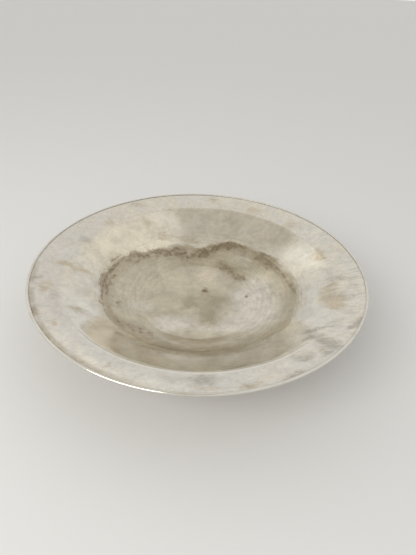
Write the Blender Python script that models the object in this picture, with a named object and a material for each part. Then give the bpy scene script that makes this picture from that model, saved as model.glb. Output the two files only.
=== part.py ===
"""Silver-plated centrepiece bowl: a spun dish with a broad brim and a slotted edge wire,
standing on a flared collet foot that is soldered under its floor.

Units are metres and +Z is up. The bowl's axis is the Z axis, and the foot stands on z = 0.
Every piece is turned: each is drawn as a half section, in (radius, height), and revolved.
"""

import math

import bmesh
import bpy
from mathutils import Matrix, Vector

# Overall size, to the outside and the top of the edge wire
OVERALL_DIAMETER = 0.360
OVERALL_HEIGHT = 0.075

# Spun dish, drawn on the middle of its sheet: the well has a gentle lower wall and a steeper upper one
BOWL_SHEET = 0.0010
BRIM_INNER_RADIUS = 0.149
BRIM_SLOPE = math.radians(14.0)
KNEE_BEND_RADIUS = 0.010
WELL_DEPTH = 0.0424
WELL_FLOOR_RADIUS = 0.066
WELL_FLOOR_BEND_RADIUS = 0.020
UPPER_WALL_RADIUS = 0.100
UPPER_WALL_RISE = 0.0115
WALL_BEND_RADIUS = 0.120

# Edge wire, slotted to take the edge of the brim
RIM_WIRE_DIAMETER = 0.0028
RIM_SLOT_DEPTH = 0.0014
RIM_SEAM_WIDTH = 0.0010
RIM_SEAM_HEIGHT = 0.0005

# Collet foot, drawn on the middle of its sheet
FOOT_SHEET = 0.0012
FOOT_FLANGE_WIDTH = 0.010
FOOT_NECK_RADIUS = 0.060
FOOT_NECK_LENGTH = 0.008
FOOT_SHOULDER_BEND_RADIUS = 0.003
FOOT_FLARE_BEND_RADIUS = 0.012
FOOT_FLARE_RADIUS = 0.0665
FOOT_LIP_BEND_RADIUS = 0.004
FOOT_SEAM_WIDTH = 0.0025

# Foot wire, which the bowl stands on
FOOT_WIRE_RADIUS = 0.0745
FOOT_WIRE_WIDTH = 0.004
FOOT_WIRE_HEIGHT = 0.003
FOOT_WIRE_EDGE_RADIUS = 0.0012
FOOT_LIP_SETBACK = 0.0008
FOOT_WIRE_SEAM_WIDTH = 0.0012

# Room left between soldered pieces
SOLDER_GAP = 0.0003

# Fineness of the turned surfaces
SEGMENTS = 64
CHORD_TOLERANCE = 0.00003
SHARP_ANGLE = math.radians(35.0)

# Places that several pieces share
RIM_WIRE_RADIUS = RIM_WIRE_DIAMETER / 2
RIM_CENTRE = Vector((OVERALL_DIAMETER / 2 - RIM_WIRE_RADIUS, OVERALL_HEIGHT - RIM_WIRE_RADIUS))
RIM_SLOT_HALF_HEIGHT = BOWL_SHEET / 2 + SOLDER_GAP
RIM_SLOT_MOUTH = -math.sqrt(RIM_WIRE_RADIUS ** 2 - RIM_SLOT_HALF_HEIGHT ** 2)
RIM_SLOT_END = RIM_SLOT_MOUTH + RIM_SLOT_DEPTH
BRIM_DIRECTION = Vector((math.cos(BRIM_SLOPE), math.sin(BRIM_SLOPE)))
KNEE_HEIGHT = RIM_CENTRE.y - (RIM_CENTRE.x - BRIM_INNER_RADIUS) * math.tan(BRIM_SLOPE)
FLOOR_HEIGHT = KNEE_HEIGHT - WELL_DEPTH
FLOOR_UNDERSIDE = FLOOR_HEIGHT - BOWL_SHEET / 2
FOOT_TOP = FLOOR_UNDERSIDE - SOLDER_GAP
FOOT_LIP_UNDERSIDE = FOOT_WIRE_HEIGHT + SOLDER_GAP
FOOT_WIRE_INNER_RADIUS = FOOT_WIRE_RADIUS - FOOT_WIRE_WIDTH


def left_of(direction):
    """The unit normal on the left of a direction of travel in the half section."""
    return Vector((-direction.y, direction.x))


def arc_steps(angle, radius):
    """How many chords keep an arc within the chord tolerance."""
    widest = 2 * math.acos(max(0.0, 1 - CHORD_TOLERANCE / radius))
    return max(2, math.ceil(abs(angle) / widest))


def arc(centre, radius, start, end):
    """Points on an arc, from one angle to another."""
    steps = arc_steps(end - start, radius)
    angles = [start + (end - start) * step / steps for step in range(steps + 1)]
    return [centre + radius * Vector((math.cos(a), math.sin(a))) for a in angles]


def bent_path(corners):
    """Stations (point, left normal) along straight runs joined by tangent bends.

    Each corner is (point, bend radius). A bend is limited by the shorter of its two runs.
    """
    points = [point for point, _ in corners]
    headings = [(after - before).normalized() for before, after in zip(points, points[1:])]
    runs = [(after - before).length for before, after in zip(points, points[1:])]
    stations = [(points[0], left_of(headings[0]))]
    for index in range(1, len(points) - 1):
        before, after = headings[index - 1], headings[index]
        turn = math.atan2(before.cross(after), before.dot(after))
        half_tangent = math.tan(abs(turn) / 2)
        room = min(runs[index - 1], runs[index]) / 2
        radius = min(corners[index][1], room / half_tangent)
        side = math.copysign(1.0, turn)
        start_normal = left_of(before)
        start = points[index] - before * radius * half_tangent
        centre = start + start_normal * side * radius
        steps = arc_steps(turn, radius)
        for step in range(steps + 1):
            normal = Matrix.Rotation(turn * step / steps, 2) @ start_normal
            stations.append((centre - normal * side * radius, normal))
    stations.append((points[-1], left_of(headings[-1])))
    return stations


def offset(stations, distance):
    """The path moved sideways, to the left for a positive distance."""
    return [point + normal * distance for point, normal in stations]


def sheet_outline(stations, thickness):
    """Both faces of a sheet whose middle follows the stations."""
    return offset(stations, thickness / 2) + offset(stations, -thickness / 2)[::-1]


def on_brim(along, across):
    """A point in the section from the edge wire's centre, along and square to the brim."""
    return RIM_CENTRE + BRIM_DIRECTION * along + left_of(BRIM_DIRECTION) * across


def plated_metal(name, colour, roughness):
    """A metal finish of its own for one piece."""
    material = bpy.data.materials.new(name)
    material.use_nodes = True
    shader = material.node_tree.nodes["Principled BSDF"]
    shader.inputs["Base Color"].default_value = (*colour, 1.0)
    shader.inputs["Metallic"].default_value = 1.0
    shader.inputs["Roughness"].default_value = roughness
    return material


def turned(name, outline, material, closed=True):
    """Revolve a half section about the axis. An open section starts and ends on the axis."""
    shape = bmesh.new()
    ring = [shape.verts.new((point.x, 0.0, point.y)) for point in outline]
    edges = [shape.edges.new(pair) for pair in zip(ring, ring[1:])]
    if closed:
        edges.append(shape.edges.new((ring[-1], ring[0])))
    bmesh.ops.spin(shape, geom=ring + edges, cent=(0, 0, 0), axis=(0, 0, 1),
                   angle=2 * math.pi, steps=SEGMENTS, use_merge=True)
    bmesh.ops.remove_doubles(shape, verts=shape.verts, dist=1e-6)
    bmesh.ops.recalc_face_normals(shape, faces=shape.faces)
    mesh = bpy.data.meshes.new(name)
    shape.to_mesh(mesh)
    shape.free()
    mesh.shade_smooth()
    mesh.set_sharp_from_angle(angle=SHARP_ANGLE)
    mesh.materials.append(material)
    piece = bpy.data.objects.new(name, mesh)
    bpy.context.scene.collection.objects.link(piece)
    return piece


def make_bowl_body():
    """The spun dish: floor, well walls, knee and brim, cut square inside the edge wire's slot."""
    brim_edge = on_brim(RIM_SLOT_END - SOLDER_GAP, 0.0)
    stations = bent_path([
        (Vector((0.0, FLOOR_HEIGHT)), 0.0),
        (Vector((WELL_FLOOR_RADIUS, FLOOR_HEIGHT)), WELL_FLOOR_BEND_RADIUS),
        (Vector((UPPER_WALL_RADIUS, FLOOR_HEIGHT + UPPER_WALL_RISE)), WALL_BEND_RADIUS),
        (Vector((BRIM_INNER_RADIUS, KNEE_HEIGHT)), KNEE_BEND_RADIUS),
        (brim_edge, 0.0),
    ])
    outline = sheet_outline(stations, BOWL_SHEET)
    return turned("bowl_body", outline, plated_metal("silver_dish", (0.76, 0.72, 0.64), 0.28), closed=False)


def make_rim_wire():
    """The round edge wire, with the slot that the brim seats in on its inner side."""
    mouth_angle = math.atan2(RIM_SLOT_HALF_HEIGHT, RIM_SLOT_MOUTH)
    outside = arc(Vector((0.0, 0.0)), RIM_WIRE_RADIUS, -mouth_angle, mouth_angle)
    slot = [
        Vector((RIM_SLOT_END, RIM_SLOT_HALF_HEIGHT)),
        Vector((RIM_SLOT_END, -RIM_SLOT_HALF_HEIGHT)),
    ]
    outline = [on_brim(point.x, point.y) for point in outside + slot]
    return turned("rim_wire", outline, plated_metal("silver_edge_wire", (0.82, 0.79, 0.73), 0.20))


def make_rim_solder_seam():
    """The fillet of solder under the brim, against the edge wire."""
    reach = RIM_WIRE_RADIUS + SOLDER_GAP
    top = RIM_SLOT_HALF_HEIGHT
    start = math.atan2(-top, -math.sqrt(reach ** 2 - top ** 2))
    low = top + RIM_SEAM_HEIGHT
    end = math.atan2(-low, -math.sqrt(reach ** 2 - low ** 2))
    against_wire = arc(Vector((0.0, 0.0)), reach, start, end)
    toe = against_wire[0] - Vector((RIM_SEAM_WIDTH, 0.0))
    outline = [on_brim(point.x, point.y) for point in against_wire + [toe]]
    return turned("rim_solder_seam", outline, plated_metal("rim_solder", (0.58, 0.55, 0.50), 0.45))


def make_foot_ring():
    """The collet foot: a flange under the floor, a straight neck, a flare and a flat lip."""
    top = FOOT_TOP - FOOT_SHEET / 2
    lip = FOOT_LIP_UNDERSIDE + FOOT_SHEET / 2
    stations = bent_path([
        (Vector((FOOT_NECK_RADIUS - FOOT_FLANGE_WIDTH, top)), 0.0),
        (Vector((FOOT_NECK_RADIUS, top)), FOOT_SHOULDER_BEND_RADIUS),
        (Vector((FOOT_NECK_RADIUS, top - FOOT_NECK_LENGTH)), FOOT_FLARE_BEND_RADIUS),
        (Vector((FOOT_FLARE_RADIUS, lip)), FOOT_LIP_BEND_RADIUS),
        (Vector((FOOT_WIRE_RADIUS - FOOT_LIP_SETBACK, lip)), 0.0),
    ])
    outline = sheet_outline(stations, FOOT_SHEET)
    return turned("foot_ring", outline, plated_metal("silver_foot", (0.72, 0.68, 0.60), 0.32))


def make_foot_solder_seam():
    """The fillet of solder in the groove between the floor and the foot's rounded shoulder."""
    shoulder = FOOT_SHOULDER_BEND_RADIUS + FOOT_SHEET / 2
    centre = Vector((FOOT_NECK_RADIUS + FOOT_SHEET / 2 - shoulder, FOOT_TOP - shoulder))
    reach = shoulder + SOLDER_GAP
    against_foot = arc(centre, reach, math.asin(shoulder / reach), 0.0)
    toe = Vector((against_foot[-1].x + FOOT_SEAM_WIDTH, FOOT_TOP))
    outline = against_foot + [toe]
    return turned("foot_solder_seam", outline, plated_metal("foot_solder", (0.56, 0.53, 0.48), 0.45))


def make_foot_wire():
    """The flat-bottomed wire under the foot's lip, round on its outer side."""
    edge = FOOT_WIRE_EDGE_RADIUS
    stations = bent_path([
        (Vector((FOOT_WIRE_INNER_RADIUS, 0.0)), 0.0),
        (Vector((FOOT_WIRE_RADIUS, 0.0)), edge),
        (Vector((FOOT_WIRE_RADIUS, FOOT_WIRE_HEIGHT)), edge),
        (Vector((FOOT_WIRE_INNER_RADIUS, FOOT_WIRE_HEIGHT)), 0.0),
    ])
    outline = [point for point, _ in stations]
    return turned("foot_wire", outline, plated_metal("silver_foot_wire", (0.74, 0.70, 0.62), 0.30))


def make_foot_wire_solder_seam():
    """The fillet of solder inside the foot, in the corner of its lip and the foot wire."""
    corner = Vector((FOOT_WIRE_INNER_RADIUS - SOLDER_GAP, FOOT_WIRE_HEIGHT))
    outline = [
        corner,
        corner - Vector((FOOT_WIRE_SEAM_WIDTH, 0.0)),
        corner - Vector((0.0, FOOT_WIRE_SEAM_WIDTH)),
    ]
    return turned("foot_wire_solder_seam", outline, plated_metal("foot_wire_solder", (0.56, 0.53, 0.48), 0.45))


def main():
    for existing in list(bpy.data.objects):
        bpy.data.objects.remove(existing, do_unlink=True)
    make_bowl_body()
    make_rim_wire()
    make_rim_solder_seam()
    make_foot_ring()
    make_foot_solder_seam()
    make_foot_wire()
    make_foot_wire_solder_seam()


main()
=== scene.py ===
"""Looks of the centrepiece bowl: finely turned meshes in worn, tarnished silver plate.

Everything is in metres in the part's own frame, with +Z up and the foot standing on z = 0.
Materials work in millimetres, on the pieces' own coordinates.
"""

import math
from typing import NamedTuple

import bmesh
import bpy
from mathutils import Matrix, Vector, noise


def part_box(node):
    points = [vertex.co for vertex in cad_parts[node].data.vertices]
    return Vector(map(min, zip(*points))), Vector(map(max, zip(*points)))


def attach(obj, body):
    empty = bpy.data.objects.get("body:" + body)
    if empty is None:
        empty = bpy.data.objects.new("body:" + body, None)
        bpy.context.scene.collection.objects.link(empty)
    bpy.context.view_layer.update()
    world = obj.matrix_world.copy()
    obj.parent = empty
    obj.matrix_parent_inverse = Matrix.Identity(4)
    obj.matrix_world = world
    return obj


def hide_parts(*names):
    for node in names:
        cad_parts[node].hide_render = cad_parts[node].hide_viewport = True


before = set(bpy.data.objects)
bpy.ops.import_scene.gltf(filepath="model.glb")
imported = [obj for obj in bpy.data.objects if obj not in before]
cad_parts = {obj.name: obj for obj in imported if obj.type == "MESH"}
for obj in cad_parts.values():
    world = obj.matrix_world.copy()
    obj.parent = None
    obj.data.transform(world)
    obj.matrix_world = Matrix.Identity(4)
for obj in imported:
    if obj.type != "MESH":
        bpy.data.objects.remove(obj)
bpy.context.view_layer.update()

# Picture frame and camera, from an ellipse fitted to the rim
PHOTO_HEIGHT = 555
FOCAL_PIXELS = 417
SENSOR = 36.0
CAMERA_PLACE = (0.0100, -0.3827, 0.3307)
CAMERA_DOWN = math.radians(35.77)
CAMERA_ROLL = math.radians(2.40)

# Sizes that the frame gives
rim_low, rim_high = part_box("rim_wire")
dish_low, dish_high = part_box("bowl_body")
foot_low, foot_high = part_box("foot_ring")
foot_wire_low, foot_wire_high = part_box("foot_wire")
RIM_WIRE_RADIUS = (rim_high.z - rim_low.z) / 2
RIM_CENTRE = Vector((rim_high.x - RIM_WIRE_RADIUS, rim_high.z - RIM_WIRE_RADIUS))
FLOOR_UNDERSIDE = dish_low.z
FOOT_TOP = foot_high.z
FOOT_LIP_UNDERSIDE = foot_low.z
FOOT_LIP_RADIUS = foot_high.x
FOOT_WIRE_RADIUS = foot_wire_high.x
FOOT_WIRE_HEIGHT = foot_wire_high.z

# Sizes of the sections, as on the part
BOWL_SHEET = 0.0010
FOOT_SHEET = 0.0012
GAP = 0.0003
BRIM_SLOPE = math.radians(14.0)
KNEE_RADIUS = 0.149
KNEE_BEND = 0.010
FLOOR_RADIUS = 0.066
FLOOR_BEND = 0.020
UPPER_WALL_RADIUS = 0.100
UPPER_WALL_RISE = 0.0115
WALL_BEND = 0.120
RIM_SLOT_DEPTH = 0.0014
RIM_SEAM_WIDTH = 0.0010
RIM_SEAM_HEIGHT = 0.0005
FOOT_FLANGE = 0.010
FOOT_NECK = 0.060
FOOT_NECK_LENGTH = 0.008
FOOT_SHOULDER_BEND = 0.003
FOOT_FLARE_BEND = 0.012
FOOT_FLARE = 0.0665
FOOT_LIP_BEND = 0.004
FOOT_SEAM_WIDTH = 0.0025
FOOT_WIRE_WIDTH = 0.004
FOOT_WIRE_EDGE = 0.0012
FOOT_WIRE_SEAM = 0.0012

# Places on the sections
FLOOR_HEIGHT = FLOOR_UNDERSIDE + BOWL_SHEET / 2
KNEE_HEIGHT = RIM_CENTRE.y - (RIM_CENTRE.x - KNEE_RADIUS) * math.tan(BRIM_SLOPE)
BRIM_DIRECTION = Vector((math.cos(BRIM_SLOPE), math.sin(BRIM_SLOPE)))
SLOT_HALF_HEIGHT = BOWL_SHEET / 2 + GAP
SLOT_MOUTH = -math.sqrt(RIM_WIRE_RADIUS ** 2 - SLOT_HALF_HEIGHT ** 2)
SLOT_END = SLOT_MOUTH + RIM_SLOT_DEPTH
FOOT_WIRE_INNER = FOOT_WIRE_RADIUS - FOOT_WIRE_WIDTH

# Fineness of the turned surfaces
SEGMENTS = 384
LONGEST_STEP = 0.006
BEND_STEP = math.radians(3.0)
WIRE_STEP = math.radians(12.0)
SHARP_ANGLE = math.radians(40.0)

# Hand-finished waviness of the sheet
WAVE_LENGTH = 0.045
WAVE_HEIGHT = 0.00007


# Sections


def left_of(direction):
    """The unit normal on the left of a direction of travel."""
    return Vector((-direction.y, direction.x))


def arc(centre, radius, start, end, step=WIRE_STEP):
    """Points on an arc, from one angle to another."""
    count = max(2, math.ceil(abs(end - start) / step))
    angles = [start + (end - start) * index / count for index in range(count + 1)]
    return [centre + radius * Vector((math.cos(a), math.sin(a))) for a in angles]


def straight(start, end, normal):
    """Stations strictly between two points of a straight run."""
    count = math.ceil((end - start).length / LONGEST_STEP)
    return [(start.lerp(end, index / count), normal) for index in range(1, count)]


def bent_path(corners, step=BEND_STEP):
    """Stations (point, left normal) along straight runs joined by tangent bends.

    Each corner is (point, bend radius).
    """
    points = [point for point, _ in corners]
    headings = [(after - before).normalized() for before, after in zip(points, points[1:])]
    stations = [(points[0], left_of(headings[0]))]
    for index in range(1, len(points) - 1):
        before, after = headings[index - 1], headings[index]
        turn = math.atan2(before.cross(after), before.dot(after))
        radius = corners[index][1]
        side = math.copysign(1.0, turn)
        normal = left_of(before)
        start = points[index] - before * radius * math.tan(abs(turn) / 2)
        centre = start + normal * side * radius
        stations += straight(stations[-1][0], start, normal)
        count = max(2, math.ceil(abs(turn) / step))
        for bend in range(count + 1):
            turned_normal = Matrix.Rotation(turn * bend / count, 2) @ normal
            stations.append((centre - turned_normal * side * radius, turned_normal))
    last_normal = left_of(headings[-1])
    stations += straight(stations[-1][0], points[-1], last_normal)
    stations.append((points[-1], last_normal))
    return stations


def sheet_outline(stations, thickness):
    """Both faces of a sheet whose middle follows the stations."""
    face = [point + normal * thickness / 2 for point, normal in stations]
    back = [point - normal * thickness / 2 for point, normal in stations]
    return face + back[::-1]


def on_brim(point):
    """A point given from the edge wire's centre, along and square to the brim."""
    return RIM_CENTRE + BRIM_DIRECTION * point.x + left_of(BRIM_DIRECTION) * point.y


# Turned meshes


def revolved(outline, closed):
    """Points and faces of a half section turned about the axis."""
    points = []
    faces = []
    size = len(outline)
    for segment in range(SEGMENTS):
        angle = 2 * math.pi * segment / SEGMENTS
        points += [(p.x * math.cos(angle), p.x * math.sin(angle), p.y) for p in outline]
        here = segment * size
        there = (segment + 1) % SEGMENTS * size
        for index in range(size if closed else size - 1):
            after = (index + 1) % size
            faces.append((here + index, there + index, there + after, here + after))
    return points, faces


def turned(name, outline, materials, closed=True):
    """A piece turned from a half section. The second material, if any, is for faces that look down."""
    points, faces = revolved(outline, closed)
    mesh = bpy.data.meshes.new(name)
    mesh.from_pydata(points, [], faces)
    shape = bmesh.new()
    shape.from_mesh(mesh)
    bmesh.ops.remove_doubles(shape, verts=shape.verts, dist=1e-6)
    bmesh.ops.recalc_face_normals(shape, faces=shape.faces)
    for face in shape.faces:
        face.smooth = True
        face.material_index = 1 if len(materials) > 1 and face.normal.z < 0 else 0
    shape.to_mesh(mesh)
    shape.free()
    mesh.set_sharp_from_angle(angle=SHARP_ANGLE)
    for material in materials:
        mesh.materials.append(material)
    piece = bpy.data.objects.new(name, mesh)
    bpy.context.scene.collection.objects.link(piece)
    return piece


def wave(piece, length, height):
    """Move every point up or down by smooth noise, so that both faces of a sheet move together."""
    for vertex in piece.data.vertices:
        plan = Vector((vertex.co.x, vertex.co.y, 0.0)) / length
        vertex.co.z += height * noise.noise(plan)


def place(piece, node):
    """Let a piece stand for its node."""
    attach(piece, "root")
    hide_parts(node)


# Node graphs

# Radius in millimetres at which strokes round the axis have their length
STROKES = 110.0

# Depth of the fine relief in millimetres
RELIEF = 0.004


class Field:
    """A number that varies over a surface, which sums and products can be written with."""

    def __init__(self, graph, socket):
        self.graph = graph
        self.socket = socket

    def __add__(self, other):
        return self.graph.math("ADD", self, other)

    def __radd__(self, other):
        return self.graph.math("ADD", other, self)

    def __sub__(self, other):
        return self.graph.math("SUBTRACT", self, other)

    def __rsub__(self, other):
        return self.graph.math("SUBTRACT", other, self)

    def __mul__(self, other):
        return self.graph.math("MULTIPLY", self, other)

    def __rmul__(self, other):
        return self.graph.math("MULTIPLY", other, self)

    def at_most(self, other):
        return self.graph.math("MINIMUM", self, other)

    def rise(self, low, high):
        """0 up to low, 1 from high, and smooth between; falling where low is above high."""
        return self.graph.smooth(self, low, high)


class Graph:
    """Short calls that add nodes to a tree."""

    def __init__(self, tree):
        self.tree = tree

    def feed(self, socket, value):
        if isinstance(value, Field):
            value = value.socket
        if isinstance(value, bpy.types.NodeSocket):
            self.tree.links.new(value, socket)
        else:
            socket.default_value = value

    def node(self, kind, *values):
        """A node with its first inputs fed."""
        node = self.tree.nodes.new(kind)
        for socket, value in zip(node.inputs, values):
            self.feed(socket, value)
        return node

    def math(self, operation, *values):
        node = self.node("ShaderNodeMath", *values)
        node.operation = operation
        return Field(self, node.outputs[0])

    def vector(self, operation, *values):
        node = self.node("ShaderNodeVectorMath", *values)
        node.operation = operation
        return node.outputs["Vector"]

    def length(self, vector):
        node = self.node("ShaderNodeVectorMath", vector)
        node.operation = "LENGTH"
        return Field(self, node.outputs["Value"])

    def toward(self, vector, direction):
        """How far a vector points in a direction."""
        node = self.node("ShaderNodeVectorMath", vector, direction)
        node.operation = "DOT_PRODUCT"
        return Field(self, node.outputs["Value"])

    def parts(self, vector):
        return [Field(self, output) for output in self.node("ShaderNodeSeparateXYZ", vector).outputs]

    def joined(self, *values):
        return self.node("ShaderNodeCombineXYZ", *values).outputs[0]

    def smooth(self, field, low, high):
        node = self.node("ShaderNodeMapRange", field, low, high)
        node.interpolation_type = "SMOOTHSTEP"
        return Field(self, node.outputs["Result"])

    def fitted(self, vector, middle, turn, size):
        """Coordinates moved to a middle, turned by degrees, and measured in units of a size."""
        node = self.tree.nodes.new("ShaderNodeMapping")
        node.vector_type = "TEXTURE"
        for socket, value in zip(node.inputs, (vector, middle, (0.0, 0.0, math.radians(turn)), size)):
            self.feed(socket, value)
        return node.outputs[0]

    def blend(self, amount, under, over, mode="MIX"):
        """A colour laid over another by an amount from 0 to 1."""
        node = self.tree.nodes.new("ShaderNodeMix")
        node.data_type = "RGBA"
        node.blend_type = mode
        self.feed(node.inputs[0], amount)
        self.feed(node.inputs[6], (*under, 1.0) if isinstance(under, tuple) else under)
        self.feed(node.inputs[7], (*over, 1.0) if isinstance(over, tuple) else over)
        return node.outputs[2]


class Metal(Graph):
    """A metal surface, in millimetres on the piece's own coordinates."""

    def __init__(self, name):
        self.material = bpy.data.materials.new(name)
        self.material.use_nodes = True
        super().__init__(self.material.node_tree)
        self.shader = self.tree.nodes["Principled BSDF"]
        coordinates = self.tree.nodes.new("ShaderNodeTexCoord")
        self.point = self.vector("MULTIPLY", coordinates.outputs["Object"], (1000.0, 1000.0, 1000.0))
        self.plan = self.vector("MULTIPLY", self.point, (1.0, 1.0, 0.0))
        self.radius = self.length(self.plan)
        self.heading = self.vector("NORMALIZE", self.plan)

    def around(self, degrees, reach):
        """1 in a direction from the axis, falling to 0 at so many degrees to either side of it."""
        angle = math.radians(degrees)
        facing = self.toward(self.heading, (math.cos(angle), math.sin(angle), 0.0))
        return facing.rise(math.cos(math.radians(reach)), 1.0)

    def noise(self, size, seed=0.0, vector=None, detail=3.0, roughness=0.55, twist=0.0):
        """Noise from 0 to 1 with features of about a size in millimetres."""
        start = self.point if vector is None else vector
        node = self.tree.nodes.new("ShaderNodeTexNoise")
        self.feed(node.inputs["Vector"], self.vector("ADD", start, (seed, 1.7 * seed, 0.6 * seed)))
        node.inputs["Scale"].default_value = 1.0 / size
        node.inputs["Detail"].default_value = detail
        node.inputs["Roughness"].default_value = roughness
        node.inputs["Distortion"].default_value = twist
        return Field(self, node.outputs["Fac"])

    def cloudy(self, size, seed, twist=0.0):
        """Noise with full contrast and ragged edges."""
        return self.noise(size, seed, detail=6.0, roughness=0.64, twist=twist).rise(0.32, 0.68)

    def brushed(self, turn, length, width, seed):
        """Straight strokes of a length and a width in a direction."""
        lengthwise = self.fitted(self.plan, (0.0, 0.0, 0.0), turn, (length, width, 1.0))
        return self.noise(1.0, seed, lengthwise, detail=3.0)

    def scratches(self, turn, seed):
        """Sparse, fine, nearly parallel scratches."""
        return self.brushed(turn, 45.0, 0.7, seed).rise(0.62, 0.72)

    def wiped(self, length, width, seed):
        """Strokes of a width that run round the axis, and have a length at the radius of STROKES."""
        along, across, _ = self.parts(self.heading)
        turns = STROKES / length
        rounds = self.joined(along * turns, across * turns, self.radius * (1.0 / width))
        return self.noise(1.0, seed, rounds, detail=3.0, roughness=0.6)

    def finish(self, colour, roughness, height):
        """Wire up the shader."""
        bump = self.tree.nodes.new("ShaderNodeBump")
        bump.inputs["Strength"].default_value = 1.0
        bump.inputs["Distance"].default_value = RELIEF / 1000.0
        self.feed(bump.inputs["Height"], height)
        self.shader.inputs["Metallic"].default_value = 1.0
        self.feed(self.shader.inputs["Base Color"], colour)
        self.feed(self.shader.inputs["Roughness"], roughness)
        self.feed(self.shader.inputs["Normal"], bump.outputs["Normal"])
        return self.material


# Tarnish on the dish


class Stain(NamedTuple):
    """A soft patch in plan: its middle and half lengths in millimetres, its turn in degrees, and its depth.

    Tarnish with a depth of about 1 hides the plate.
    """
    x: float
    y: float
    along: float
    across: float
    turn: float
    depth: float


class Shift(NamedTuple):
    """How far the water line runs inside its circle, in a direction and to either side of it."""
    degrees: float
    reach: float
    inward: float


# Colours of the plate, from bright to fully tarnished
# Painted highlight colour, for a glow on the near-left brim and a bright line along the near knee
HIGHLIGHT_SILVER = (0.840, 0.780, 0.660)
# Clean plate, and also the painted lighter reflection on the near wall
CLEAN_SILVER_AND_SHEEN = (0.800, 0.770, 0.710)
CREAM_SILVER = (0.735, 0.680, 0.570)
WARM_SILVER = (0.800, 0.725, 0.575)
LILAC_SILVER = (0.640, 0.590, 0.530)
COOL_SILVER = (0.640, 0.620, 0.565)
THIN_FILM = (0.650, 0.600, 0.515)
PEACH_FILM = (0.690, 0.605, 0.470)
OLIVE_FILM = (0.545, 0.490, 0.375)
# Thick film on the floor, and also the painted dark reflection line along the near knee
DARK_FILM_AND_DARK_REFLECTION = (0.385, 0.340, 0.235)
TAN_TARNISH = (0.530, 0.445, 0.320)
GREY_SMUDGE = (0.360, 0.330, 0.275)
BROWN_TARNISH = (0.305, 0.245, 0.162)
DARK_TARNISH = (0.190, 0.145, 0.086)

# Radii in millimetres between which one part of the dish changes into the next
WALL_BEGINS = (108.0, 118.0)
WALL_ENDS = (150.0, 146.0)
BRIM_BEGINS = (145.0, 151.0)

# Direction of the side that is nearest in the photograph, in degrees
NEAR = -90.0

# Circle of the water line, and where it runs inside or outside it
WATER_LINE = 110.0
WATER_LINE_SHIFTS = [
    Shift(-95, 55, 7),
    Shift(-12, 36, -4),
    Shift(24, 26, -3),
    Shift(86, 16, 7),
    Shift(96, 14, 8),
    Shift(114, 14, 9),
    Shift(131, 10, 6),
    Shift(168, 24, -5),
]

# Brown tarnish on the floor and at the water line, and a painted dark reflection along the upper edge of
# the near lens
BROWN_STAINS_AND_DARK_REFLECTION = [
    Stain(-22, 85, 38, 9, 6, 0.5),
    Stain(-8, 79, 28, 8, 4, 0.4),
    Stain(-48, 80, 20, 9, 30, 0.25),
    Stain(-74, 63, 28, 12, 50, 0.3),
    Stain(-104, 6, 12, 42, 2, 0.12),
    Stain(8, 88, 16, 10, 8, 0.8),
    Stain(28, 97, 16, 9, 8, 0.8),
    Stain(-22, 72, 14, 8, 20, 0.4),
    Stain(48, 98, 22, 8, -18, 0.6),
    Stain(44, 86, 6, 10, 0, 0.3),
    Stain(80, 64, 28, 11, -54, 0.6),
    Stain(36, 56, 22, 12, -50, 0.85),
    Stain(52, 43, 11, 8, -50, 0.9),
    Stain(26, 72, 10, 8, -40, 0.5),
    Stain(57, 9, 4, 5, 0, 1.0),
    Stain(-87, -26, 4, 9, 10, 0.4),
    # The next four are a painted dark reflection of the far rim along the near lens's upper edge, not
    # tarnish
    Stain(-56, -68, 34, 11, -32, 0.5),
    Stain(-43, -66, 18, 10, -42, 0.35),
    Stain(4, -67, 32, 6, 2, 0.4),
    Stain(52, -70, 28, 9, 18, 0.4),
    Stain(8.0, 17.0, 6.8, 6.0, 15, 1.6),
]

# Thick olive film on the floor
FILM_STAINS = [
    Stain(9, -6, 37, 17, 4, 1.2),
    Stain(12, -29, 16, 20, 0, 1.1),
    Stain(-10, -15, 10, 7, 20, 0.8),
    Stain(-30, -26, 20, 12, 0, 0.6),
    Stain(-60, -40, 18, 8, -30, 0.6),
    Stain(-36, 0, 26, 14, 0, 0.4),
    Stain(6, 14, 30, 10, 0, 0.6),
]

# Clouds of thin film on the floor
THIN_PATCHES = [
    Stain(66, -14, 34, 52, 0, 1.2),
    Stain(40, -38, 26, 18, 0, 0.8),
    Stain(-24, -44, 34, 16, 0, 1.1),
    Stain(-68, -22, 24, 16, 20, 0.7),
    Stain(30, -52, 36, 10, 0, 0.9),
    Stain(70, 30, 26, 16, -40, 0.7),
    Stain(48, 12, 20, 14, 0, 0.7),
    Stain(-96, -10, 12, 26, 0, 0.4),
    Stain(52, 76, 20, 12, -25, 0.7),
]

# Warm clouds on the floor
WARM_PATCHES = [
    Stain(8, 45, 18, 20, -8, 1.1),
    Stain(-22, 74, 22, 10, 10, 0.5),
    Stain(82, 35, 8, 12, 0, 0.8),
]

# Grey and black smudges on the brim
GREY_STAINS = [
    Stain(151, -89, 16, 6, 30, 1.0),
    Stain(116, -90, 22, 5, 3, 0.75),
    Stain(160, -12, 20, 5, -4, 0.45),
    Stain(152, -6, 12, 6, 0, 0.5),
    Stain(134, -82, 20, 5, 5, 0.35),
    Stain(164, -26, 14, 4, -8, 0.4),
    Stain(120, -112, 15, 11, -40, 0.75),
    Stain(93, -131, 14, 8, 20, 0.55),
    Stain(84, -155, 12, 5, 25, 0.8),
    Stain(9, -160, 16, 10, 0, 0.7),
    Stain(-18, -160, 18, 7, 0, 0.35),
    Stain(-167, -36, 8, 6, 80, 0.7),
    Stain(-141, 52, 10, 10, 40, 0.4),
    Stain(108, -101, 10, 7, 30, 0.8),
    Stain(117, -128, 10, 6, 30, 0.6),
    Stain(-142, -58, 7, 16, 10, 0.35),
    Stain(-150, -88, 8, 14, 30, 0.3),
]

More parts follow.
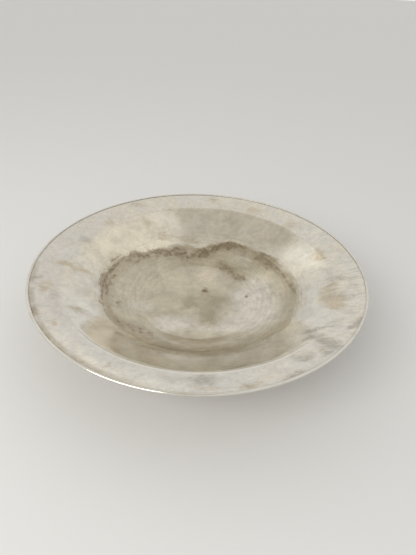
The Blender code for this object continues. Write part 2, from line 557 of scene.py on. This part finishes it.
# Warm tan patches on the brim and the wall
TAN_STAINS = [
    Stain(138, -36, 13, 26, 6, 0.85),
    Stain(138, -56, 10, 12, 0, 0.5),
    Stain(152, -42, 10, 8, 0, 0.45),
    Stain(141, 40, 10, 14, 0, 0.8),
    Stain(146, -18, 8, 6, 0, 0.6),
    Stain(112, -122, 7, 6, 0, 0.6),
    Stain(118, 106, 16, 13, 0, 0.5),
    Stain(10, -171, 26, 5, 2, 0.4),
    Stain(48, -166, 14, 7, 12, 0.55),
    Stain(70, 144, 15, 10, -25, 0.5),
    Stain(13, 166, 15, 9, 0, 0.45),
    Stain(-15, 105, 26, 9, -14, 0.5),
    Stain(-91, 143, 18, 9, 30, 0.45),
    Stain(-76, 117, 12, 10, 60, 0.35),
    Stain(-51, 103, 17, 9, 20, 0.55),
    Stain(-120, 96, 8, 10, 0, 0.5),
    Stain(-134, 2, 22, 6, 4, 0.55),
    Stain(-152, -2, 14, 7, 10, 0.6),
    Stain(-155, -49, 11, 14, 0, 0.65),
    Stain(-119, -70, 9, 6, -10, 0.8),
    Stain(-129, -101, 8, 5, -40, 0.6),
    Stain(-70, -152, 5, 4, 0, 0.4),
]


def mottled(amount, froth):
    """An amount from 0 to 1, mottled by noise."""
    return (amount * (0.5 + froth)).rise(0.0, 1.15)


class DishSilver(Metal):
    """The dish's upper face: hazy cream silver, an olive film on the floor, and a brown water line."""

    def __init__(self):
        super().__init__("silver_inside")

        # Noise that the layers share
        self.drift = [self.noise(14.0, seed, detail=5.0, roughness=0.62) - 0.5 for seed in (0.0, 91.0)]
        self.clouds = self.cloudy(44.0, 20.0)
        self.patches = self.cloudy(18.0, 57.0, twist=0.4)
        self.flecks = self.cloudy(5.5, 133.0, twist=0.5)
        self.froth = self.cloudy(8.0, 211.0, twist=0.6)
        self.wipes = self.wiped(16.0, 1.6, 7.0)
        self.sweeps = self.wiped(34.0, 3.2, 29.0).rise(0.32, 0.68)
        self.strokes = self.brushed(5.0, 10.0, 2.0, 61.0).rise(0.36, 0.62)
        self.grain = self.brushed(4.0, 4.0, 1.6, 83.0).rise(0.36, 0.64)

        # Parts of the dish
        self.brim = self.radius.rise(*BRIM_BEGINS)
        self.wall = self.radius.rise(*WALL_BEGINS) * self.radius.rise(*WALL_ENDS)
        self.near = self.around(NEAR, 55.0)
        across, _, _ = self.parts(self.heading)
        self.flank = (across * across).rise(0.3, 0.9)

        # Places where stains lie, and the tarnish's edge
        drifted = self.joined(self.drift[0] * 22.0, self.drift[1] * 22.0, 0.0)
        self.stain_plan = self.vector("ADD", self.plan, drifted)
        self.line = self.water_line()

    def stained(self, stains):
        """How deep a set of stains is at each place."""
        total = 0.0
        for stain in stains:
            cos, sin = math.cos(math.radians(stain.turn)), math.sin(math.radians(stain.turn))
            away = self.vector("SUBTRACT", self.stain_plan, (stain.x, stain.y, 0.0))
            along = self.toward(away, (cos / stain.along, sin / stain.along, 0.0))
            across = self.toward(away, (-sin / stain.across, cos / stain.across, 0.0))
            total = self.length(self.joined(along, across, 0.0)).rise(1.25, 0.1) * stain.depth + total
        return total

    def water_line(self):
        """The radius, shifted so that the tarnish ends at WATER_LINE in every direction."""
        line = self.radius
        for shift in WATER_LINE_SHIFTS:
            line = line + self.around(shift.degrees, shift.reach) * shift.inward
        wander = self.noise(0.3, 11.0, self.heading, detail=5.0, roughness=0.6) - 0.5
        line = line + wander * 6.0 + self.drift[0] * 6.0
        line = line + (self.wipes - 0.5) * (2.0 + self.flank * 13.0)
        return line + (self.froth - 0.5) * (2.5 + self.around(172.0, 55.0) * 5.0)

    def plate(self):
        """Bright plate, between cream, warm, cool and lilac, with a painted lighter reflection on the near
        wall and a painted highlight glow on the near-left brim.
        """
        colour = self.blend(self.clouds * 0.6, CREAM_SILVER, COOL_SILVER)
        warm = self.around(140.0, 42.0) * self.radius.rise(154.0, 136.0)
        colour = self.blend(warm, colour, WARM_SILVER)
        lilac = self.around(190.0, 66.0) * self.brim * (0.35 + self.patches * 0.6)
        colour = self.blend(lilac, colour, LILAC_SILVER)
        cool = self.around(-105.0, 60.0) * self.brim * (0.4 + self.clouds * 0.5)
        colour = self.blend(cool, colour, COOL_SILVER)
        # Painted reflection: the near wall made lighter and cooler
        colour = self.blend(self.around(NEAR, 80.0) * self.wall * 0.95, colour, CLEAN_SILVER_AND_SHEEN)
        colour = self.blend(self.patches.rise(0.4, 0.0) * self.brim * 0.5, colour, CLEAN_SILVER_AND_SHEEN)
        # Painted highlight: a cream glow on the near-left brim
        painted_glow = self.around(-122.0, 36.0) * self.radius.rise(156.0, 168.0)
        return self.blend(painted_glow * (0.5 + self.patches * 0.4), colour, HIGHLIGHT_SILVER)

    def tan(self):
        """Tan patches on the brim and the wall."""
        tan = mottled(self.stained(TAN_STAINS) * 1.4, self.froth * 0.4 + self.strokes * 0.7)
        return (tan + self.patches.rise(0.5, 1.0) * 0.14).at_most(1.0)

    def grey(self):
        """Grey smudges on the brim, and level streaks on its right side."""
        streaks = self.brushed(3.0, 22.0, 1.7, 17.0).rise(0.52, 0.70)
        streaks = streaks * self.radius.rise(142.0, 150.0) * self.around(-10.0, 34.0) * 0.5
        froth = self.flecks * 0.7 + self.strokes * 0.4 + self.grain * 0.6 - 0.35
        return (mottled(self.stained(GREY_STAINS) * 1.4, froth) + streaks).at_most(1.0)

    def film(self):
        """Olive film over the floor, with thin, thick and warm clouds."""
        thin = mottled(self.stained(THIN_PATCHES), self.froth * 0.4 + self.patches * 0.4 + 0.1)
        film = self.blend(thin, OLIVE_FILM, THIN_FILM)
        thick = mottled(self.stained(FILM_STAINS), self.froth * 0.8 + self.flecks * 0.7 - 0.3)
        film = self.blend(thick * 0.8, film, DARK_FILM_AND_DARK_REFLECTION)
        warm = mottled(self.stained(WARM_PATCHES), self.froth)
        film = self.blend(warm * 0.75, film, PEACH_FILM)
        return self.blend(self.near * self.radius.rise(70.0, 84.0) * 0.2, film, CLEAN_SILVER_AND_SHEEN)

    def tone(self):
        """Lighter and darker places, to multiply the colour by."""
        tone = 1.0 + (self.patches - 0.5) * 0.20 + (self.clouds - 0.5) * 0.12 + (self.flecks - 0.5) * 0.12
        # The wall painted a little darker away from the near side, the counterpart of its painted lighter
        # reflection there
        tone = tone - self.wall * (1.0 - self.near) * 0.05
        swept = self.radius.rise(40.0, 80.0) * self.radius.rise(122.0, 108.0)
        return tone + (self.sweeps - 0.5) * swept * 0.16 + (self.grain - 0.5) * self.brim * 0.06

    def brown(self):
        """Brown tarnish: a narrow edge at the water line, a broad shade inside it, and stains, some of them
        a painted dark reflection on the near side.
        """
        strong = 0.30 + self.around(160.0, 40.0) * 0.06 - self.around(-36.0, 24.0) * 0.14 - self.near * 0.3
        edge = self.line.rise(WATER_LINE - 18.0, WATER_LINE - 4.0) * strong
        shade = self.line.rise(WATER_LINE - 36.0, WATER_LINE - 6.0) * (0.24 + self.flank * 0.16)
        sharp = self.line.rise(WATER_LINE + 2.0, WATER_LINE - 2.0)
        fringe = self.line.rise(WATER_LINE + 17.0, WATER_LINE - 5.0)
        inside = sharp * (1.0 - self.flank * 0.85) + fringe * self.flank * 0.85
        stains = (edge + shade + self.stained(BROWN_STAINS_AND_DARK_REFLECTION)) * inside
        froth = (self.froth * 0.5 + self.flecks * 0.4) * (1.0 - self.flank * 0.7)
        return mottled(stains, froth + self.sweeps * self.flank * 0.7)

    def with_painted_knee_reflection(self, colour):
        """The colour with a painted dark reflection line and a painted highlight line along the near knee,
        where the bend mirrors dark and bright.
        """
        knee_dark_reflection = self.radius.rise(148.0, 149.4) * self.radius.rise(151.4, 150.2)
        colour = self.blend(knee_dark_reflection * self.near * 0.7, colour, DARK_FILM_AND_DARK_REFLECTION)
        knee_highlight = self.radius.rise(150.4, 151.4) * self.radius.rise(153.4, 152.2)
        return self.blend(knee_highlight * self.near * 0.5, colour, HIGHLIGHT_SILVER)

    def dirt(self):
        """Dirt along the edge wire, broader where the brim is worn."""
        dirt = self.radius.rise(175.8, 177.2) * (0.1 + self.froth * 0.4)
        worn = self.radius.rise(170.0, 175.0) * self.around(-138.0, 48.0)
        return dirt + worn * (0.2 + self.patches * 0.5)

    def haze(self):
        """Roughness of the plate, less on the wall and near floor, but for a patch on the right."""
        polish = (self.wall + self.near * self.radius.rise(54.0, 64.0)).at_most(1.0)
        polish = polish * (1.0 - self.around(-54.0, 20.0) * 0.8)
        return (0.16 + self.clouds * 0.08 + self.patches * 0.08) * (1.0 - polish * 0.6)


def inside_silver():
    """The dish's upper face, laid on from the bright plate to the dirt."""
    metal = DishSilver()
    grey = metal.grey()
    brown = metal.brown()
    colour = metal.blend(metal.tan() * 0.8, metal.plate(), TAN_TARNISH)
    colour = metal.blend(grey * 0.68, colour, GREY_SMUDGE)
    on_floor = metal.line.rise(WATER_LINE + 2.0, WATER_LINE - 5.0)
    colour = metal.blend(on_floor, colour, metal.film())
    colour = metal.blend(1.0, colour, metal.tone(), "MULTIPLY")
    colour = metal.blend(brown * (0.6 + metal.flecks * 0.3), colour, BROWN_TARNISH)
    colour = metal.blend(brown.rise(0.6, 1.0) * (0.15 + metal.flecks * 0.45), colour, DARK_TARNISH)
    # Painted dark reflection and painted highlight lines along the near knee
    colour = metal.with_painted_knee_reflection(colour)
    colour = metal.blend(metal.dirt(), colour, BROWN_TARNISH)

    rings = metal.wiped(73.0, 1.1, 3.0)
    scratches = metal.scratches(14.0, 3.0) + metal.scratches(-36.0, 19.0) + metal.scratches(72.0, 47.0)
    roughness = metal.haze() + brown * 0.16 + grey * 0.1 + scratches * 0.05
    height = rings * 0.35 + metal.wipes * 0.2 + metal.flecks * 0.25 - scratches
    return metal.finish(colour, roughness, height)


def plain_silver(name, bright, dull, size, roughness, tarnished):
    """Plate with soft, cloudy tarnish, for the wires, the foot and the underside."""
    metal = Metal(name)
    clouds = metal.noise(size, detail=6.0, roughness=0.62)
    flecks = metal.noise(size / 5, 31.0, detail=4.0, roughness=0.6, twist=0.5)
    tarnish = clouds.rise(0.42, 0.70) * (0.3 + flecks) * tarnished
    colour = metal.blend(tarnish.at_most(1.0), bright, dull)

    # Dirt where the brim meets the edge wire
    dirt = metal.radius.rise(175.0, 176.5) * metal.radius.rise(178.0, 177.3)
    colour = metal.blend(dirt * (0.05 + flecks * 0.3), colour, BROWN_TARNISH)

    rings = metal.wiped(73.0, 0.9, 3.0)
    scratches = metal.scratches(20.0, 5.0) + metal.scratches(-52.0, 29.0)
    haze = roughness + tarnish * 0.15 + dirt * 0.35 + scratches * 0.05
    height = flecks * 0.4 + rings * 0.4 - scratches
    return metal.finish(colour, haze, height)


# Pieces


def make_dish(inside, underside):
    brim_edge = on_brim(Vector((SLOT_END - GAP, 0.0)))
    stations = bent_path([
        (Vector((0.0, FLOOR_HEIGHT)), 0.0),
        (Vector((FLOOR_RADIUS, FLOOR_HEIGHT)), FLOOR_BEND),
        (Vector((UPPER_WALL_RADIUS, FLOOR_HEIGHT + UPPER_WALL_RISE)), WALL_BEND),
        (Vector((KNEE_RADIUS, KNEE_HEIGHT)), KNEE_BEND),
        (brim_edge, 0.0),
    ])
    dish = turned("spun_dish", sheet_outline(stations, BOWL_SHEET), [inside, underside], closed=False)
    wave(dish, WAVE_LENGTH, WAVE_HEIGHT)
    place(dish, "bowl_body")


def make_edge_wire(material):
    mouth = math.atan2(SLOT_HALF_HEIGHT, SLOT_MOUTH)
    outside = arc(Vector((0.0, 0.0)), RIM_WIRE_RADIUS, -mouth, mouth)
    slot = [Vector((SLOT_END, SLOT_HALF_HEIGHT)), Vector((SLOT_END, -SLOT_HALF_HEIGHT))]
    wire = turned("edge_wire", [on_brim(point) for point in outside + slot], [material])
    place(wire, "rim_wire")


def make_rim_seam(material):
    reach = RIM_WIRE_RADIUS + GAP
    low = SLOT_HALF_HEIGHT + RIM_SEAM_HEIGHT
    start = math.atan2(-SLOT_HALF_HEIGHT, -math.sqrt(reach ** 2 - SLOT_HALF_HEIGHT ** 2))
    end = math.atan2(-low, -math.sqrt(reach ** 2 - low ** 2))
    against_wire = arc(Vector((0.0, 0.0)), reach, start, end)
    toe = against_wire[0] - Vector((RIM_SEAM_WIDTH, 0.0))
    seam = turned("rim_solder", [on_brim(point) for point in against_wire + [toe]], [material])
    place(seam, "rim_solder_seam")


def make_foot(material):
    top = FOOT_TOP - FOOT_SHEET / 2
    lip = FOOT_LIP_UNDERSIDE + FOOT_SHEET / 2
    stations = bent_path([
        (Vector((FOOT_NECK - FOOT_FLANGE, top)), 0.0),
        (Vector((FOOT_NECK, top)), FOOT_SHOULDER_BEND),
        (Vector((FOOT_NECK, top - FOOT_NECK_LENGTH)), FOOT_FLARE_BEND),
        (Vector((FOOT_FLARE, lip)), FOOT_LIP_BEND),
        (Vector((FOOT_LIP_RADIUS, lip)), 0.0),
    ])
    foot = turned("collet_foot", sheet_outline(stations, FOOT_SHEET), [material])
    place(foot, "foot_ring")


def make_foot_seam(material):
    shoulder = FOOT_SHOULDER_BEND + FOOT_SHEET / 2
    centre = Vector((FOOT_NECK + FOOT_SHEET / 2 - shoulder, FOOT_TOP - shoulder))
    reach = shoulder + GAP
    against_foot = arc(centre, reach, math.asin(shoulder / reach), 0.0)
    toe = Vector((against_foot[-1].x + FOOT_SEAM_WIDTH, FOOT_TOP))
    seam = turned("foot_solder", against_foot + [toe], [material])
    place(seam, "foot_solder_seam")


def make_foot_wire(material):
    stations = bent_path([
        (Vector((FOOT_WIRE_INNER, 0.0)), 0.0),
        (Vector((FOOT_WIRE_RADIUS, 0.0)), FOOT_WIRE_EDGE),
        (Vector((FOOT_WIRE_RADIUS, FOOT_WIRE_HEIGHT)), FOOT_WIRE_EDGE),
        (Vector((FOOT_WIRE_INNER, FOOT_WIRE_HEIGHT)), 0.0),
    ], WIRE_STEP)
    wire = turned("standing_wire", [point for point, _ in stations], [material])
    place(wire, "foot_wire")


def make_foot_wire_seam(material):
    corner = Vector((FOOT_WIRE_INNER - GAP, FOOT_WIRE_HEIGHT))
    outline = [
        corner,
        corner - Vector((FOOT_WIRE_SEAM, 0.0)),
        corner - Vector((0.0, FOOT_WIRE_SEAM)),
    ]
    seam = turned("foot_wire_solder", outline, [material])
    place(seam, "foot_wire_solder_seam")


# Studio

FLOOR_COLOUR = (0.70, 0.69, 0.67, 1.0)
WALL_COLOUR = (1.0, 1.0, 1.0)
CEILING_COLOUR = (0.78, 0.755, 0.695)
LIGHT_COLOUR = (1.25, 1.25, 1.22)
LIGHT_DIRECTION = (-0.50, 0.57, 0.65)
WORLD_STRENGTH = 0.86


def make_floor():
    mesh = bpy.data.meshes.new("floor")
    shape = bmesh.new()
    bmesh.ops.create_circle(shape, cap_ends=True, segments=96, radius=14.0)
    shape.to_mesh(mesh)
    shape.free()
    floor = bpy.data.objects.new("floor", mesh)
    bpy.context.scene.collection.objects.link(floor)
    material = bpy.data.materials.new("pale_floor")
    material.use_nodes = True
    shader = material.node_tree.nodes["Principled BSDF"]
    shader.inputs["Base Color"].default_value = FLOOR_COLOUR
    shader.inputs["Roughness"].default_value = 0.9
    mesh.materials.append(material)


def make_world():
    """Soft light all round, with a greyer ceiling overhead and a brighter patch of light beside it."""
    world = bpy.data.worlds.new("studio")
    bpy.context.scene.world = world
    world.use_nodes = True
    graph = Graph(world.node_tree)
    coordinates = graph.tree.nodes.new("ShaderNodeTexCoord")
    side, back, up = graph.parts(coordinates.outputs["Generated"])
    ceiling = side.rise(-0.53, -0.48) * side.rise(0.19, 0.14)
    ceiling = ceiling * back.rise(0.56, 0.50) * up.rise(0.45, 0.60)
    light = graph.toward(coordinates.outputs["Generated"], LIGHT_DIRECTION).rise(0.965, 0.995)
    background = graph.tree.nodes["Background"]
    colour = graph.blend(ceiling, WALL_COLOUR, CEILING_COLOUR)
    graph.feed(background.inputs["Color"], graph.blend(light, colour, LIGHT_COLOUR))
    background.inputs["Strength"].default_value = WORLD_STRENGTH


def make_softbox(name, where, aim, width, height, power):
    lamp = bpy.data.lights.new(name, "AREA")
    lamp.shape = "RECTANGLE"
    lamp.size = width
    lamp.size_y = height
    lamp.energy = power
    light = bpy.data.objects.new(name, lamp)
    light.location = where
    light.rotation_euler = (Vector(aim) - Vector(where)).to_track_quat("-Z", "Y").to_euler()
    bpy.context.scene.collection.objects.link(light)


def make_camera():
    lens = bpy.data.cameras.new("camera")
    lens.sensor_width = SENSOR
    lens.lens = SENSOR * FOCAL_PIXELS / PHOTO_HEIGHT
    lens.clip_start = 0.01
    camera = bpy.data.objects.new("camera", lens)
    aim = Matrix.Rotation(math.pi / 2 - CAMERA_DOWN, 4, "X") @ Matrix.Rotation(CAMERA_ROLL, 4, "Z")
    camera.matrix_world = Matrix.Translation(CAMERA_PLACE) @ aim
    bpy.context.scene.collection.objects.link(camera)
    bpy.context.scene.camera = camera


wire_silver = plain_silver(
    "silver_wire", bright=(0.71, 0.68, 0.61), dull=(0.55, 0.48, 0.38),
    size=22.0, roughness=0.13, tarnished=0.5,
)
foot_silver = plain_silver(
    "silver_foot", bright=(0.72, 0.68, 0.60), dull=(0.40, 0.33, 0.23),
    size=26.0, roughness=0.24, tarnished=0.9,
)
under_silver = plain_silver(
    "silver_underside", bright=(0.72, 0.68, 0.60), dull=(0.42, 0.35, 0.25),
    size=40.0, roughness=0.24, tarnished=0.9,
)
solder = plain_silver(
    "plated_solder", bright=(0.58, 0.55, 0.50), dull=(0.34, 0.29, 0.22),
    size=7.0, roughness=0.42, tarnished=1.0,
)
make_dish(inside_silver(), under_silver)
make_edge_wire(wire_silver)
make_rim_seam(solder)
make_foot(foot_silver)
make_foot_seam(solder)
make_foot_wire(wire_silver)
make_foot_wire_seam(solder)

make_floor()
make_world()
make_softbox("window", where=(-0.68, -0.82, 0.80), aim=(0.0, 0.0, 0.05), width=0.8, height=0.6, power=7.0)
make_camera()
bpy.context.scene.view_settings.view_transform = "Standard"
